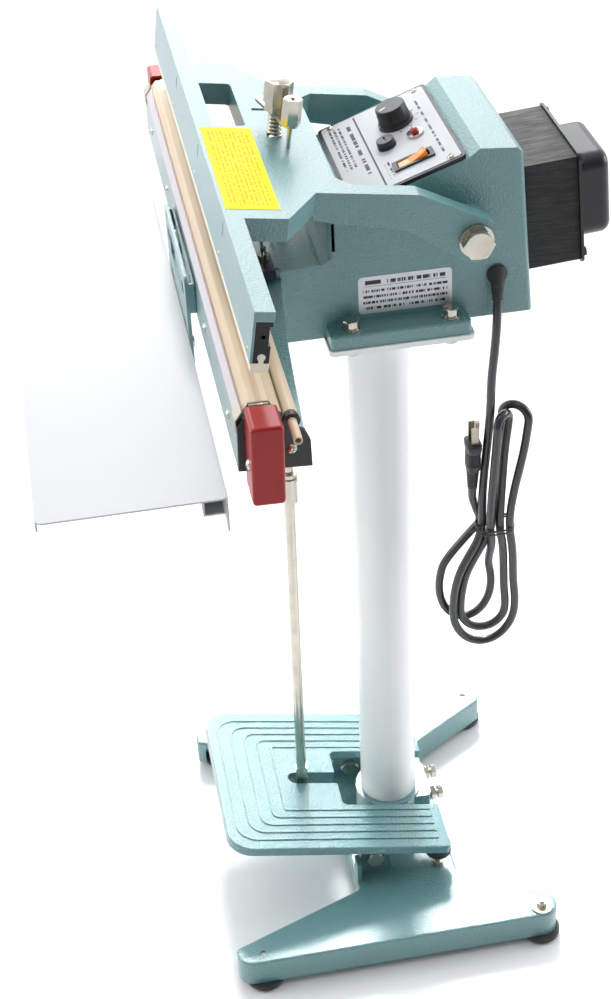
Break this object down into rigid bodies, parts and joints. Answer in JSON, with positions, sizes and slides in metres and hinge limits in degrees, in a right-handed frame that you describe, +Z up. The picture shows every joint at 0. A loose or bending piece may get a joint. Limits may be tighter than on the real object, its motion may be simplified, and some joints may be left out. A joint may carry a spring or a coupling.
{
  "type": "impulse heat sealer",
  "caption": "Foot-operated impulse heat sealer on a pedestal, with a long hinged sealing jaw, a work table, a control panel and a pedal.",
  "frame": {"origin": "on the floor, under the axis of the column", "axes": "+X along the sealing jaws to the operator's right, +Y from the operator to the back, +Z up"},
  "size_m": [0.705, 0.5352, 0.9258],
  "materials": {
    "blue_paint": "fine hammered light blue-green enamel",
    "white_paint": "smooth white enamel",
    "bright_steel": "bright nickel plated",
    "zinc_steel": "zinc plated",
    "black_rubber": "matt rubber",
    "label_plate": null,
    "black_plastic": "glossy black",
    "panel_print": "pale grey printed plate",
    "lamp_red": "deep red lens",
    "orange_plastic": "translucent orange rocker",
    "black_iron": "black varnished laminations",
    "black_enamel": "glossy black",
    "clamp_aluminium": "satin anodised",
    "insulation": "glass fibre laminate",
    "element": "nickel chrome band",
    "ptfe": "brown coated glass cloth",
    "red_plastic": "moulded red",
    "dark_steel": "blued spring steel",
    "table_white": "white enamel sheet",
    "black_aluminium": "black anodised",
    "silicone": "cream silicone",
    "label_yellow": null,
    "cord_pvc": "black flexible sheath",
    "brass": "plated brass"
  },
  "bodies": {
    "stand": {"base_casting": "blue_paint", "rubber_feet": "black_rubber", "base_studs": "zinc_steel", "column_lock_bolts": "bright_steel", "column_tube": "white_paint", "column_top_plate": "white_paint", "body_casting": "blue_paint", "flange_bolts": "bright_steel", "rear_cover": "blue_paint", "rating_plate": "label_plate", "panel_bezel": "black_plastic", "panel_plate": "panel_print", "panel_screws": "bright_steel", "lamp_holder": "bright_steel", "lamp_lens": "lamp_red", "fuse_holder": "black_plastic", "switch_frame": "black_plastic", "transformer_core": "black_iron", "transformer_bell": "black_enamel", "cord_grommet": "black_rubber", "power_cord": "cord_pvc", "cord_hank": "cord_pvc", "cord_tie": "black_plastic", "plug_body": "black_plastic", "plug_prongs": "brass", "lower_jaw_casting": "blue_paint", "jaw_front_plate": "blue_paint", "lower_jaw_screws": "bright_steel", "clamp_strip": "clamp_aluminium", "insulation_strip": "insulation", "heating_element": "element", "ptfe_cloth": "ptfe", "cloth_clips": "zinc_steel", "end_plates": "black_enamel", "end_caps": "red_plastic", "wing_nut_clip": "dark_steel", "table_bracket": "blue_paint", "pedal_bolts": "bright_steel", "pedal_bumpers": "black_rubber", "arm_bolts": "bright_steel"},
    "pedal": {"pedal_casting": "blue_paint"},
    "rod": {"pull_rod": "bright_steel", "rod_coupling": "bright_steel"},
    "arm": {"arm_casting": "blue_paint", "upper_jaw_bar": "blue_paint", "jaw_extrusion": "black_aluminium", "silicone_strip": "silicone", "upper_jaw_screws": "zinc_steel", "caution_label": "label_yellow", "pressure_spring": "bright_steel", "keeper_strip": "bright_steel", "adjuster_screw": "bright_steel", "spring_nuts": "bright_steel"},
    "knob": {"timer_knob": "black_plastic"},
    "fuse": {"fuse_cap": "black_plastic"},
    "rocker": {"power_rocker": "orange_plastic"},
    "roll": {"ptfe_roll": "ptfe"},
    "table": {"work_table": "table_white", "table_screws": "bright_steel"},
    "wing": {"wing_nut": "bright_steel"}
  },
  "joints": [
    {"name": "pedal_press", "type": "hinge", "parent": "stand", "child": "pedal", "pos_m": [0, -0.033, 0.062], "axis": [1, 0, 0], "range_deg": [0, 15.8], "stiffness_Nm_per_rad": 14, "springref_deg": -40.11},
    {"name": "rod_link", "type": "hinge", "parent": "pedal", "child": "rod", "pos_m": [0, -0.097, 0.097], "axis": [1, 0, 0], "range_deg": [-15.9, 0]},
    {"name": "arm_close", "type": "hinge", "parent": "stand", "child": "arm", "pos_m": [0, 0.062, 0.81], "axis": [1, 0, 0], "range_deg": [0, 7]},
    {"name": "timer_turn", "type": "hinge", "parent": "stand", "child": "knob", "pos_m": [-0.028, 0.02456, 0.8623], "axis": [0, -0.3322, 0.9432], "range_deg": [-210, 60]},
    {"name": "fuse_turn", "type": "hinge", "parent": "stand", "child": "fuse", "pos_m": [0.0065, 0.009, 0.85682], "axis": [0, -0.3322, 0.9432], "range_deg": [0, 60]},
    {"name": "rocker_tip", "type": "hinge", "parent": "stand", "child": "rocker", "pos_m": [0.05, 0.02401, 0.85787], "axis": [1, 0, 0], "range_deg": [-24, 0]},
    {"name": "roll_spin", "type": "hinge", "parent": "stand", "child": "roll", "pos_m": [0, -0.13116, 0.7902], "axis": [1, 0, 0], "continuous": true},
    {"name": "table_height", "type": "slide", "parent": "stand", "child": "table", "axis": [0, 0, 1], "range_m": [-0.008, 0.022]},
    {"name": "wing_turn", "type": "hinge", "parent": "stand", "child": "wing", "pos_m": [0.062, -0.111, 0.79], "axis": [0, 0, 1], "continuous": true}
  ],
  "couplings": [
    {"joint": "arm_close", "follows": "pedal_press", "ratio": 0.44304},
    {"joint": "rod_link", "follows": "pedal_press", "ratio": -1}
  ]
}
